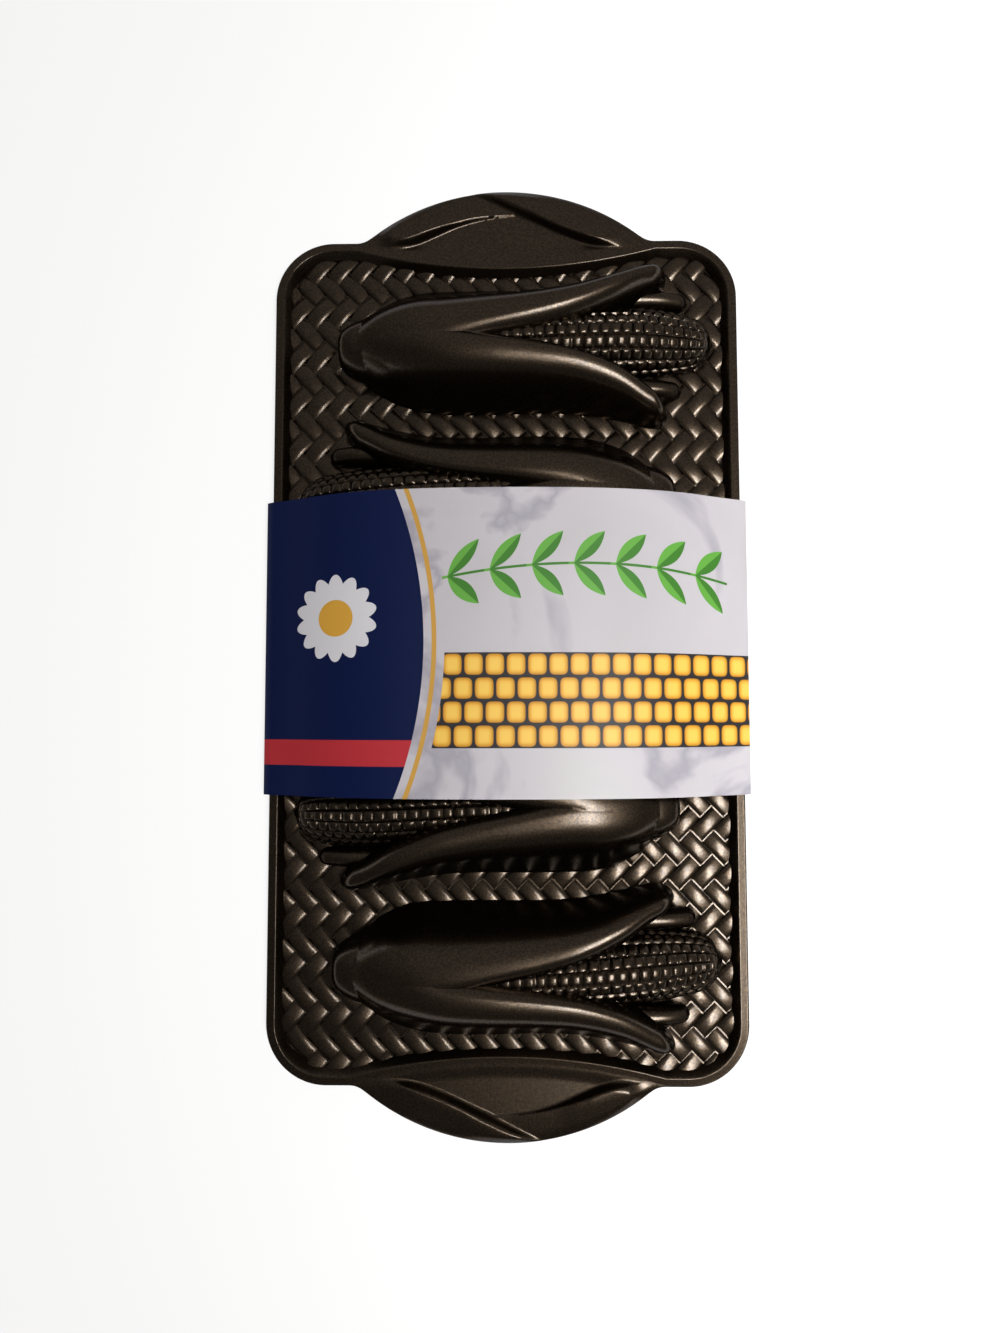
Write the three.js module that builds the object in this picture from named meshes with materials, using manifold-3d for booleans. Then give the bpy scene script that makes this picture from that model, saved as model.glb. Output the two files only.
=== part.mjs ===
import * as THREE from 'three';
import { mergeVertices } from 'three/addons/utils/BufferGeometryUtils.js';
import Module from 'manifold-3d';

const wasm = await Module();
wasm.setup();

// Casting: driving sizes in millimetres, +Y along the pan and +Z away from the baking face
const panWidth = 190;
const bodyLength = 341;
const cornerRadius = 24;
const rimWidth = 7;
const rimHeight = 6;
const rimCrestInset = 2.2;
const rimCrestWidth = 2.2;
const garlandCrestShare = 0.5;
const rimEdgeHeight = 3.4;
const deckThickness = 3.2;
const castingWall = 2.6;
const earCount = 5;
const endLand = 14.5;
const rowLand = 11.8;
const stemLand = 20;
const tipLand = 3;
const huskRise = 25.3;
const leastRidgeRise = 1.3;
const handleReach = 22;
const shoulderFillet = 8;
const shoulderFlat = 9;
const garlandDip = 8;
const fieldThickness = 3.8;
const handleLeafRise = 2.6;
const handleLeafMargin = 0.6;
const castingSeam = 0.3;

// Paperboard sleeve round the middle of the pan
const boardThickness = 0.5;
const sleeveLength = 118;
const sleeveShift = 2;
const sleeveSidePlay = 1.7;
const sleeveRestGap = 0.3;
const sleeveCrownGap = 0.3;
const glueLapWidth = 18;
const glueLapInset = 40;
const archRun = 24;
const archLift = 8;
const archCrown = 70;

// Smoothness of the curved faces
const cornerSteps = 8;
const arcSteps = 12;
const leafStations = 12;
const cobStations = 10;
const trimStations = 5;
const domeSteps = 8;
const archSteps = 14;
const cutDepth = 1;

// Levels and spans that follow from the sizes above
const faceLevel = 2 * boardThickness + sleeveRestGap;
const deckLevel = faceLevel + deckThickness;
const rimLevel = faceLevel + rimHeight;
const fieldLevel = faceLevel + fieldThickness;
const huskLevel = deckLevel + huskRise;
const bodyEnd = bodyLength / 2;
const rimInner = bodyEnd - rimWidth;
const stemOffset = panWidth / 2 - rimWidth - stemLand;
const earLength = panWidth - 2 * rimWidth - stemLand - tipLand;
const earPitch = (bodyLength - 2 * endLand) / earCount;
const earHalfWidth = (earPitch - rowLand) / 2;
const handleHalfSpan = panWidth / 2 - cornerRadius - shoulderFlat;
const handleRadius = (handleHalfSpan ** 2 + handleReach ** 2) / (2 * handleReach) - shoulderFillet;
const handleCentre = bodyEnd + handleReach - handleRadius;

// Outlines of an ear seen from above: shares of its length from the stem end, and of its half width.
// rise is the crest's height as a share of the husk's, and ridge is where the crest lies from inner to outer.
const leafUpper = {
  inner: [
    [0.03, -0.34], [0.13, -0.65], [0.25, -0.46], [0.35, -0.08],
    [0.5, 0.16], [0.65, 0.45], [0.79, 0.94], [0.862, 1.18],
  ],
  outer: [
    [0.03, 0.34], [0.12, 0.78], [0.24, 0.97], [0.38, 1],
    [0.52, 1.01], [0.67, 1.11], [0.8, 1.3], [0.872, 1.3],
  ],
  rise: [0.42, 0.75, 0.94, 1, 0.95, 0.77, 0.52, 0.22],
  ridge: [0.5, 0.47, 0.4, 0.27, 0.25, 0.3, 0.4, 0.5],
};
const leafLower = {
  inner: [
    [0.03, 0.34], [0.13, 0.53], [0.24, 0.27], [0.35, -0.16],
    [0.5, -0.27], [0.66, -0.44], [0.785, -0.86], [0.86, -1.16],
  ],
  outer: [
    [0.03, -0.34], [0.12, -0.78], [0.24, -0.97], [0.38, -1],
    [0.52, -1.01], [0.67, -1.11], [0.8, -1.28], [0.872, -1.29],
  ],
  rise: [0.42, 0.75, 0.94, 1, 0.95, 0.77, 0.52, 0.22],
  ridge: [0.5, 0.46, 0.37, 0.27, 0.25, 0.3, 0.4, 0.5],
};
const cob = {
  inner: [[0.2, -0.45], [0.42, -0.58], [0.62, -0.57], [0.78, -0.5], [0.91, -0.34], [0.98, -0.12], [1, 0.05]],
  outer: [[0.2, 0.22], [0.42, 0.42], [0.62, 0.58], [0.78, 0.64], [0.91, 0.53], [0.98, 0.32], [1, 0.15]],
  rise: [0.6, 0.77, 0.75, 0.66, 0.44, 0.23, 0.08],
  ridge: [0.5, 0.5, 0.5, 0.5, 0.5, 0.5, 0.5],
};
const stub = {
  inner: [[0, -0.29], [0.015, -0.36], [0.08, -0.4], [0.16, -0.42]],
  outer: [[0, 0.29], [0.015, 0.36], [0.08, 0.4], [0.16, 0.42]],
  rise: [0.38, 0.44, 0.5, 0.6],
  ridge: [0.5, 0.5, 0.5, 0.5],
};
const tipLeafUpper = {
  inner: [[0.7, 0.48], [0.82, 0.57], [0.89, 0.64], [0.925, 0.72]],
  outer: [[0.7, 0.98], [0.84, 0.99], [0.905, 0.93], [0.932, 0.82]],
  rise: [0.36, 0.3, 0.23, 0.1],
  ridge: [0.5, 0.5, 0.5, 0.5],
};
const tipLeafLower = {
  inner: [[0.7, -0.44], [0.82, -0.49], [0.88, -0.54], [0.913, -0.62]],
  outer: [[0.7, -0.92], [0.83, -0.88], [0.895, -0.82], [0.92, -0.71]],
  rise: [0.36, 0.3, 0.23, 0.1],
  ridge: [0.5, 0.5, 0.5, 0.5],
};

// Husk leaves on a handle: inner edges as shares of the half span, and of the reach past the body's end
const handleLeafOver = {
  inner: [[-0.15, 0.81], [0.07, 0.52], [0.27, 0.24], [0.47, 0.05], [0.84, -0.1]],
  ridge: 0.4,
  from: 1.64,
  to: 0.91,
};
const handleLeafUnder = {
  inner: [[-0.84, -0.1], [-0.6, 0.16], [-0.45, 0.4], [-0.27, 0.49], [-0.15, 0.6]],
  ridge: 0.4,
  from: 2.23,
  to: 1.72,
};

const castingMaterial = new THREE.MeshStandardMaterial({ color: 0x40362e, roughness: 0.38, metalness: 0.85 });
const boardMaterial = new THREE.MeshStandardMaterial({ color: 0xc9c9d2, roughness: 0.5, metalness: 0 });

// Skins rings of points. The ends are capped with fans, or the last ring meets the first again.
function skinRings(rings, endless) {
  const count = rings[0].length;
  const index = [];
  const bands = endless ? rings.length : rings.length - 1;
  for (let r = 0; r < bands; r++) {
    const here = r * count;
    const next = ((r + 1) % rings.length) * count;
    for (let i = 0; i < count; i++) {
      const j = (i + 1) % count;
      index.push(here + i, here + j, next + j);
      index.push(here + i, next + j, next + i);
    }
  }
  const last = (rings.length - 1) * count;
  for (let i = 1; i + 1 < count && !endless; i++) {
    index.push(0, i + 1, i);
    index.push(last, last + i, last + i + 1);
  }
  const geometry = new THREE.BufferGeometry();
  const numbers = rings.flat().flatMap((point) => point.toArray());
  geometry.setAttribute('position', new THREE.Float32BufferAttribute(numbers, 3));
  geometry.setIndex(index);
  return faceOutwards(geometry);
}

// Turns every triangle round when the enclosed volume comes out negative
function faceOutwards(geometry) {
  const position = geometry.attributes.position;
  const index = geometry.index.array;
  const [a, b, c] = [new THREE.Vector3(), new THREE.Vector3(), new THREE.Vector3()];
  let volume = 0;
  for (let i = 0; i < index.length; i += 3) {
    a.fromBufferAttribute(position, index[i]);
    b.fromBufferAttribute(position, index[i + 1]);
    c.fromBufferAttribute(position, index[i + 2]);
    volume += a.dot(b.cross(c));
  }
  if (volume < 0) {
    index.reverse();
  }
  return geometry;
}

function toSolid(geometry) {
  const bare = geometry.clone();
  bare.deleteAttribute('normal');
  bare.deleteAttribute('uv');
  const merged = mergeVertices(bare);
  return new wasm.Manifold(new wasm.Mesh({
    numProp: 3,
    vertProperties: Float32Array.from(merged.attributes.position.array),
    triVerts: Uint32Array.from(merged.index.array),
  }));
}

function toGeometry(solid) {
  const mesh = solid.getMesh();
  const geometry = new THREE.BufferGeometry();
  geometry.setAttribute('position', new THREE.BufferAttribute(mesh.vertProperties, 3));
  geometry.setIndex(new THREE.BufferAttribute(mesh.triVerts, 1));
  geometry.computeVertexNormals();
  return geometry;
}

const joined = (geometries) => geometries.map(toSolid).reduce((whole, piece) => whole.add(piece));

const flatSpline = (points) => new THREE.SplineCurve(points.map(([x, y]) => new THREE.Vector2(x, y)));

// Value of a list of evenly spaced heights or shares at t, on a smooth curve
const along = (values, t) => flatSpline(values.map((value, i) => [i, value])).getPoint(t).y;

// A ridge between two edge curves: each cross-section is two quarter ellipses on upright sides.
// The outer edge, the crest and the end sections move out by grow, and the inner edge by innerGrow.
function ridgeSolid({
  innerEdge, outerEdge, riseAt, ridgeAt, stations, base, floor, grow = 0, innerGrow = grow,
}) {
  const middle = (t) => innerEdge(t).add(outerEdge(t)).multiplyScalar(0.5);
  const rings = [];
  for (let k = 0; k <= stations; k++) {
    const t = k / stations;
    const inner = innerEdge(t);
    const outer = outerEdge(t);
    const across = outer.clone().sub(inner).normalize();
    const shift = new THREE.Vector2();
    if (k === 0) {
      shift.subVectors(middle(0), middle(1 / stations)).setLength(grow);
    }
    if (k === stations) {
      shift.subVectors(middle(1), middle(1 - 1 / stations)).setLength(grow);
    }
    inner.addScaledVector(across, -innerGrow).add(shift);
    outer.addScaledVector(across, grow).add(shift);
    const rise = Math.max(riseAt(t) + grow, leastRidgeRise);
    const ridge = ridgeAt(t);
    const ring = [new THREE.Vector3(inner.x, inner.y, floor)];
    for (let i = 0; i <= domeSteps; i++) {
      const angle = Math.PI * i / domeSteps;
      const turn = Math.cos(angle);
      const share = turn > 0 ? ridge * (1 - turn) : ridge - (1 - ridge) * turn;
      const place = inner.clone().lerp(outer, share);
      ring.push(new THREE.Vector3(place.x, place.y, base + rise * Math.sin(angle)));
    }
    ring.push(new THREE.Vector3(outer.x, outer.y, floor));
    rings.push(ring);
  }
  return skinRings(rings, false);
}

// One ridge of an ear, from its outline in shares
function earRidge(outline, stations, floor, grow, innerGrow) {
  const inEar = ([fromStem, across]) => [fromStem * earLength - stemOffset, across * earHalfWidth];
  const inner = flatSpline(outline.inner.map(inEar));
  const outer = flatSpline(outline.outer.map(inEar));
  return ridgeSolid({
    innerEdge: (t) => inner.getPoint(t),
    outerEdge: (t) => outer.getPoint(t),
    riseAt: (t) => huskRise * along(outline.rise, t),
    ridgeAt: (t) => along(outline.ridge, t),
    stations,
    base: deckLevel,
    floor,
    grow,
    innerGrow,
  });
}

function earSolid(grow, floor) {
  return joined([
    earRidge(leafUpper, leafStations, floor, grow),
    earRidge(leafLower, leafStations, floor, grow),
    earRidge(cob, cobStations, floor, grow),
    earRidge(stub, trimStations, floor, grow),
    earRidge(tipLeafUpper, trimStations, floor, grow),
    earRidge(tipLeafLower, trimStations, floor, grow),
  ]);
}

// The hollow that bakes one cornstick: the large ridges, one wall thickness smaller.
// The leaves' edges over the cob move in by half a wall, so that no rib hangs down between leaf and cob.
function earHollow() {
  const floor = faceLevel - cutDepth;
  return joined([
    earRidge(leafUpper, leafStations, floor, -castingWall, -castingWall / 2),
    earRidge(leafLower, leafStations, floor, -castingWall, -castingWall / 2),
    earRidge(cob, cobStations, floor, -castingWall),
  ]);
}

// Places of the ears: the first lies at the far end, and every second one points the other way
const earPlaces = Array.from({ length: earCount }, (_, i) => ({
  row: ((earCount - 1) / 2 - i) * earPitch,
  turn: i % 2 === 0 ? 0 : Math.PI,
}));

function placed(geometry, { row, turn }) {
  return geometry.clone().rotateZ(turn).translate(0, row, 0);
}

// The body's outline, a rounded rectangle, moved in by inset
function bodyOutline(inset) {
  const radius = cornerRadius - inset;
  const points = [];
  const corners = [[1, 1], [-1, 1], [-1, -1], [1, -1]];
  corners.forEach(([sideX, sideY], quarter) => {
    const centreX = sideX * (panWidth / 2 - cornerRadius);
    const centreY = sideY * (bodyEnd - cornerRadius);
    for (let i = 0; i <= cornerSteps; i++) {
      const angle = (quarter + i / cornerSteps) * Math.PI / 2;
      points.push(new THREE.Vector2(centreX + radius * Math.cos(angle), centreY + radius * Math.sin(angle)));
    }
  });
  return points;
}

function plate(shape, bottom, height) {
  const settings = { depth: height, bevelEnabled: false, curveSegments: arcSteps };
  return mergedPlate(new THREE.ExtrudeGeometry(shape, settings).translate(0, 0, bottom));
}

function mergedPlate(geometry) {
  geometry.deleteAttribute('normal');
  geometry.deleteAttribute('uv');
  return mergeVertices(geometry);
}

// What a handle takes out of the rim and the deck: everything past the garland, between the shoulders
function handleCutter() {
  const side = handleHalfSpan + castingSeam;
  const edge = rimInner - castingSeam;
  const shape = new THREE.Shape();
  shape.moveTo(side, bodyEnd + cutDepth);
  shape.lineTo(-side, bodyEnd + cutDepth);
  shape.lineTo(-side, edge);
  shape.quadraticCurveTo(0, edge - 2 * garlandDip, side, edge);
  return plate(shape, faceLevel - cutDepth, rimHeight + 2 * cutDepth);
}

function bothEnds(geometry) {
  return [geometry, geometry.clone().rotateZ(Math.PI)];
}

// One side of the rim, between the two handles: 1 for the right side and -1 for the left
function rimGeometry(side) {
  const profile = [
    [0, faceLevel],
    [0, faceLevel + rimEdgeHeight],
    [rimCrestInset / 3, faceLevel + (rimEdgeHeight + 2 * rimHeight) / 3],
    [rimCrestInset, rimLevel],
    [rimCrestInset + rimCrestWidth, rimLevel],
    [rimWidth, deckLevel],
    [rimWidth, faceLevel],
  ];
  const ringAt = ([inset, level]) => bodyOutline(inset).map((p) => new THREE.Vector3(p.x, p.y, level));
  const ring = toSolid(skinRings(profile.map(ringAt), true));
  const otherHalf = new THREE.BoxGeometry(panWidth, 2 * bodyLength, 4 * rimHeight);
  otherHalf.translate(-side * panWidth / 2, 0, 0);
  const cutters = [...bothEnds(handleCutter()), otherHalf].map(toSolid);
  return toGeometry(cutters.reduce((rest, cutter) => rest.subtract(cutter), ring));
}

function deckGeometry() {
  const sheet = toSolid(plate(new THREE.Shape(bodyOutline(rimWidth + castingSeam)), faceLevel, deckThickness));
  const cutters = bothEnds(handleCutter()).map(toSolid);
  const earCutter = toGeometry(earSolid(castingSeam, faceLevel - cutDepth));
  cutters.push(...earPlaces.map((place) => toSolid(placed(earCutter, place))));
  return toGeometry(cutters.reduce((rest, cutter) => rest.subtract(cutter), sheet));
}

const handlePoint = ([aside, past]) => [aside * handleHalfSpan, bodyEnd + past * handleReach];

// A leaf along the handle's round edge, between two angles measured from +X at the arc's centre
function handleLeaf({ inner, ridge, from, to }) {
  const edge = flatSpline(inner.map(handlePoint));
  const radius = handleRadius - handleLeafMargin;
  return ridgeSolid({
    innerEdge: (t) => edge.getPoint(t),
    outerEdge: (t) => {
      const angle = from + (to - from) * t;
      return new THREE.Vector2(radius * Math.cos(angle), handleCentre + radius * Math.sin(angle));
    },
    riseAt: () => handleLeafRise,
    ridgeAt: () => ridge,
    stations: arcSteps,
    base: fieldLevel,
    floor: faceLevel,
  });
}

// The rim's bead where it swings in below a handle as a garland
function garlandBead() {
  const edge = (t, offset) => {
    const x = (2 * t - 1) * handleHalfSpan;
    return new THREE.Vector2(x, rimInner + offset - garlandDip * (1 - (x / handleHalfSpan) ** 2));
  };
  return ridgeSolid({
    innerEdge: (t) => edge(t, 0),
    outerEdge: (t) => edge(t, rimWidth),
    riseAt: () => rimLevel - deckLevel,
    ridgeAt: () => garlandCrestShare,
    stations: arcSteps,
    base: deckLevel,
    floor: faceLevel,
  });
}

function handleGeometry() {
  const filletX = handleHalfSpan;
  const filletY = bodyEnd + shoulderFillet;
  const lean = Math.atan2(filletY - handleCentre, filletX);
  const shape = new THREE.Shape();
  shape.moveTo(handleHalfSpan, bodyEnd);
  shape.absarc(filletX, filletY, shoulderFillet, -Math.PI / 2, lean - Math.PI, true);
  shape.absarc(0, handleCentre, handleRadius, lean, Math.PI - lean, false);
  shape.absarc(-filletX, filletY, shoulderFillet, -lean, -Math.PI / 2, true);
  shape.lineTo(-handleHalfSpan, rimInner);
  shape.quadraticCurveTo(0, rimInner - 2 * garlandDip, handleHalfSpan, rimInner);
  const field = plate(shape, faceLevel, fieldThickness);
  return toGeometry(joined([field, garlandBead(), handleLeaf(handleLeafOver), handleLeaf(handleLeafUnder)]));
}

// The folded board: flat back, short upright sides and a front that arches over the ears.
// Its two ends overlap inside the back, as the glued lap.
function sleeveGeometry() {
  const innerX = panWidth / 2 + sleeveSidePlay;
  const outerX = innerX + boardThickness;
  const foldLevel = rimLevel + sleeveRestGap;
  const crownLevel = huskLevel + sleeveCrownGap;
  const outline = (side, crown) => [
    new THREE.CubicBezierCurve(
      new THREE.Vector2(side, foldLevel),
      new THREE.Vector2(side - archRun, foldLevel + archLift),
      new THREE.Vector2(archCrown, crown),
      new THREE.Vector2(0, crown),
    ),
    new THREE.CubicBezierCurve(
      new THREE.Vector2(0, crown),
      new THREE.Vector2(-archCrown, crown),
      new THREE.Vector2(archRun - side, foldLevel + archLift),
      new THREE.Vector2(-side, foldLevel),
    ),
  ].flatMap((curve, i) => curve.getPoints(archSteps).slice(i));
  const outer = outline(outerX, crownLevel + boardThickness);
  outer.push(new THREE.Vector2(-outerX, 0), new THREE.Vector2(outerX, 0));
  const lapStart = glueLapInset - innerX;
  const inner = outline(innerX, crownLevel);
  inner.push(
    new THREE.Vector2(-innerX, boardThickness),
    new THREE.Vector2(lapStart, boardThickness),
    new THREE.Vector2(lapStart, 2 * boardThickness),
    new THREE.Vector2(lapStart + glueLapWidth, 2 * boardThickness),
    new THREE.Vector2(lapStart + glueLapWidth, boardThickness),
    new THREE.Vector2(innerX, boardThickness),
  );
  const shape = new THREE.Shape(outer);
  shape.holes.push(new THREE.Path(inner));
  const band = new THREE.ExtrudeGeometry(shape, { depth: sleeveLength, bevelEnabled: false });
  band.rotateX(Math.PI / 2).translate(0, sleeveShift + sleeveLength / 2, 0);
  return mergedPlate(band);
}

function named(name, geometry, material) {
  const mesh = new THREE.Mesh(geometry, material);
  mesh.name = name;
  return mesh;
}

const pan = new THREE.Group();
const cupGeometry = toGeometry(earSolid(0, faceLevel).subtract(earHollow()));
earPlaces.forEach(({ row, turn }, i) => {
  const cup = named(`ear_cup_${i + 1}`, cupGeometry, castingMaterial);
  cup.position.y = row;
  cup.rotation.z = turn;
  pan.add(cup);
});
pan.add(named('woven_deck', deckGeometry(), castingMaterial));
pan.add(named('rim_left', rimGeometry(-1), castingMaterial));
pan.add(named('rim_right', rimGeometry(1), castingMaterial));
const [farHandle, nearHandle] = bothEnds(handleGeometry());
pan.add(named('handle_far', farHandle, castingMaterial));
pan.add(named('handle_near', nearHandle, castingMaterial));

const product = new THREE.Group();
product.add(pan);
product.add(named('sleeve', sleeveGeometry(), boardMaterial));

export default product;
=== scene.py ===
import math

import bpy
import numpy as np
from mathutils import Matrix, Vector


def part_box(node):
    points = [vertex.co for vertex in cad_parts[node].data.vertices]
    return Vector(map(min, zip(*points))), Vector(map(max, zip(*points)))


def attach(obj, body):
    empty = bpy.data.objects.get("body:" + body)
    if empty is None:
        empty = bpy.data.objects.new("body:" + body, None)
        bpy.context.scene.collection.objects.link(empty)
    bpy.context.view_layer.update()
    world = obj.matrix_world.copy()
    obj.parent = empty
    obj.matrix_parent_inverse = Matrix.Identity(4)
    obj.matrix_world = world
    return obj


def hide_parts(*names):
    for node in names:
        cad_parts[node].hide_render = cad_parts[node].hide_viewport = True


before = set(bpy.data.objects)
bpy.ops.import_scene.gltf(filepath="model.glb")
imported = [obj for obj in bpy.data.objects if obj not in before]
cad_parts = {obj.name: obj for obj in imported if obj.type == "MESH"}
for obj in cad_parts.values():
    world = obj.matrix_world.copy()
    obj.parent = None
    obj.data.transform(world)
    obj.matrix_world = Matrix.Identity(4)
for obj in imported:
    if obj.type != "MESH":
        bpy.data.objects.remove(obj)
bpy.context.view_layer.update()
print("frame loaded:", sorted(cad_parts))

# Lengths are in millimetres and angles in degrees, unless a note says otherwise
mm = 0.001
tiny = 1e-6
seamReach = 0.002  # corners closer than this are one
cutMargin = 1  # how far a cutting block reaches past what it cuts
scene = bpy.context.scene


# Small helpers for selecting, shaping and joining

def deselectAll():
    bpy.ops.object.select_all(action="DESELECT")


def boxInMm(node):  # lowest and highest corner of a CAD node
    low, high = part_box(node)
    return np.array(low) / mm, np.array(high) / mm


def makeActive(piece):
    deselectAll()
    piece.select_set(True)
    bpy.context.view_layer.objects.active = piece


def verticesOf(piece):
    flat = np.empty(len(piece.data.vertices) * 3)
    piece.data.vertices.foreach_get("co", flat)
    return flat.reshape(-1, 3)


def moveVertices(piece, places):  # places in millimetres
    piece.data.vertices.foreach_set("co", (np.asarray(places, float) * mm).ravel())
    piece.data.update()


def shapedGrid(name, across, along, place):  # place gets each vertex's shares across and along the grid
    deselectAll()
    bpy.ops.mesh.primitive_grid_add(x_subdivisions=across, y_subdivisions=along, size=2)
    piece = bpy.context.object
    piece.name = name
    start = verticesOf(piece)
    moveVertices(piece, place((start[:, 0] + 1) / 2, (start[:, 1] + 1) / 2))
    return piece


def faceOut(piece):  # turns a closed mesh the right way out, by the sign of its volume
    bpy.ops.object.mode_set(mode="EDIT")
    bpy.ops.mesh.select_all(action="SELECT")
    bpy.ops.mesh.normals_make_consistent(inside=False)
    bpy.ops.object.mode_set(mode="OBJECT")
    mesh = piece.data
    mesh.calc_loop_triangles()
    corners = np.empty(len(mesh.loop_triangles) * 3, int)
    mesh.loop_triangles.foreach_get("vertices", corners)
    first, second, third = verticesOf(piece)[corners].reshape(-1, 3, 3).transpose(1, 0, 2)
    if np.einsum("ij,ij->", first, np.cross(second, third)) < 0:
        mesh.flip_normals()
    return piece


def closeDown(piece, floorLevel):  # draws the open border down to a flat floor and fills it
    bpy.ops.object.mode_set(mode="EDIT")
    bpy.ops.mesh.select_mode(type="EDGE")
    bpy.ops.mesh.select_all(action="DESELECT")
    bpy.ops.mesh.select_non_manifold(extend=False, use_wire=False, use_boundary=True,
                                     use_multi_face=False, use_non_contiguous=False, use_verts=False)
    bpy.ops.mesh.extrude_region_move(TRANSFORM_OT_translate={"value": (0, 0, -mm)})
    bpy.ops.transform.resize(value=(1, 1, 0), center_override=(0, 0, floorLevel * mm))
    bpy.ops.mesh.edge_face_add()
    bpy.ops.object.mode_set(mode="OBJECT")
    return faceOut(piece)


def closeSeams(piece):  # merges the edges where a sheet meets itself
    bpy.ops.object.mode_set(mode="EDIT")
    bpy.ops.mesh.select_all(action="SELECT")
    bpy.ops.mesh.remove_doubles(threshold=seamReach * mm)
    bpy.ops.object.mode_set(mode="OBJECT")
    return faceOut(piece)


def combine(piece, others, operation):  # UNION, DIFFERENCE or INTERSECT, and the others are used up
    for other in others:
        makeActive(piece)
        cut = piece.modifiers.new("combine", "BOOLEAN")
        cut.operation = operation
        cut.solver = "MANIFOLD"
        cut.object = other
        bpy.ops.object.modifier_apply(modifier=cut.name)
        bpy.data.objects.remove(other, do_unlink=True)
    return piece


def copyOf(piece, name, place):
    made = bpy.data.objects.new(name, piece.data.copy())
    scene.collection.objects.link(made)
    made.data.transform(place)
    return made


def smooth(piece, degrees):
    makeActive(piece)
    bpy.ops.object.shade_smooth_by_angle(angle=math.radians(degrees))


def splineAt(points, times):  # smooth curve through evenly timed points
    points = np.asarray(points, float)
    if points.ndim == 1:
        points = points[:, None]
    last = len(points) - 1
    place = np.clip(times, 0, 1) * last
    step = np.minimum(place.astype(int), last - 1)
    part = (place - step)[:, None]
    before, here = points[np.maximum(step - 1, 0)], points[step]
    after, beyond = points[step + 1], points[np.minimum(step + 2, last)]
    leave, arrive = (after - before) / 2, (beyond - here) / 2
    cubic = (2 * here - 2 * after + leave + arrive) * part ** 3
    return cubic + (3 * after - 3 * here - 2 * leave - arrive) * part ** 2 + leave * part + here


def easeStep(value):  # 0 below 0, 1 above 1, smooth between
    share = np.clip(value, 0, 1)
    return share * share * (3 - 2 * share)


# Levels of the casting, above the surface that the sleeved pan lies on
faceLevel = boxInMm("woven_deck")[0][2]
deckLevel = boxInMm("woven_deck")[1][2]
rimLevel = boxInMm("rim_left")[1][2]
huskLevel = boxInMm("ear_cup_1")[1][2]


# Ears: two husk leaves folded over a cob with kernels, hollow below

ear = {
    "length": 153,
    "stemX": -68,
    "halfWidth": 25.3,
    "pitch": 62.4,
    "count": 5,
    "wall": 2.6,
    "wallEnds": 20,  # the wall closes each end over one part in this many of the length
    "leastRise": 1.3,
    "seat": 0.25,  # the ear's foot is this far above the baking face
    "kernelLength": 4.4,
    "kernelRows": 9,
    "kernelRise": 1.2,
    "kernelFade": 12,  # they die away over this length before the tip
    "kernelShape": (3.4, 4.4, 0.65),  # squareness along and aside, and fullness
    "leafGrid": (44, 110),
    "cobGrid": (90, 250),
    "hollowCobGrid": (72, 180),
    "trimGrid": (20, 44),
    "crestSamples": 600,
    "smoothAngle": 40,
}

# Outlines in shares of the ear's length and half width, and the crest's height as a share of the ear's.
# ridge is the crest's place between the two edges, square is 2 for a round section and more for a boxy
# one, lean draws the outer flank in, nose is the length over which the tip rounds off, and crowding
# gathers the mesh lines towards the tip.
huskFold = {
    "square": [2, 2, 2, 2, 2, 2, 2, 2, 2.1, 2.2],
    "lean": [0.5, 0.7, 0.7, 0.7, 0.7, 0.7, 0.7, 0.6, 0.4, 0.2],
    "nose": 8,
    "crowding": 1.6,
}
leafUpper = {
    **huskFold,
    "inner": [(0.03, -0.34), (0.11, -0.66), (0.2, -0.72), (0.29, -0.5), (0.4, -0.26), (0.52, -0.1),
              (0.63, 0.09), (0.73, 0.38), (0.81, 0.72), (0.868, 0.9)],
    "outer": [(0.03, 0.34), (0.11, 0.75), (0.2, 0.97), (0.29, 1.01), (0.4, 1.02), (0.52, 1.02),
              (0.63, 1.06), (0.74, 1.18), (0.82, 1.28), (0.884, 1.28)],
    "rise": [0.42, 0.74, 0.92, 0.98, 0.99, 0.98, 0.96, 0.87, 0.68, 0.54],
    "ridge": [0.5, 0.48, 0.44, 0.35, 0.31, 0.35, 0.4, 0.46, 0.5, 0.5],
}
leafLower = {
    **huskFold,
    "inner": [(0.03, 0.34), (0.11, 0.62), (0.2, 0.62), (0.29, 0.32), (0.4, 0.12), (0.52, 0),
              (0.63, -0.15), (0.73, -0.37), (0.81, -0.66), (0.866, -0.93)],
    "outer": [(0.03, -0.34), (0.11, -0.75), (0.2, -0.97), (0.29, -1.04), (0.4, -1.05), (0.52, -1.03),
              (0.63, -1.05), (0.74, -1.16), (0.82, -1.29), (0.884, -1.31)],
    "rise": [0.42, 0.74, 0.92, 0.99, 1, 0.95, 0.88, 0.76, 0.6, 0.48],
    "ridge": [0.5, 0.48, 0.44, 0.38, 0.32, 0.31, 0.29, 0.3, 0.36, 0.45],
}
cob = {
    "inner": [(0.2, -0.45), (0.42, -0.58), (0.62, -0.58), (0.78, -0.52), (0.9, -0.43),
              (0.965, -0.32), (1, -0.19)],
    "outer": [(0.2, 0.3), (0.42, 0.5), (0.62, 0.6), (0.78, 0.65), (0.9, 0.6), (0.965, 0.5), (1, 0.36)],
    "rise": [0.7, 0.82, 0.83, 0.73, 0.52, 0.36, 0.24],
    "ridge": [0.5, 0.5],
    "square": [2, 2],
    "lean": [0.2, 0.2],
    "nose": 6,
    "crowding": 1.15,
}
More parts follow.
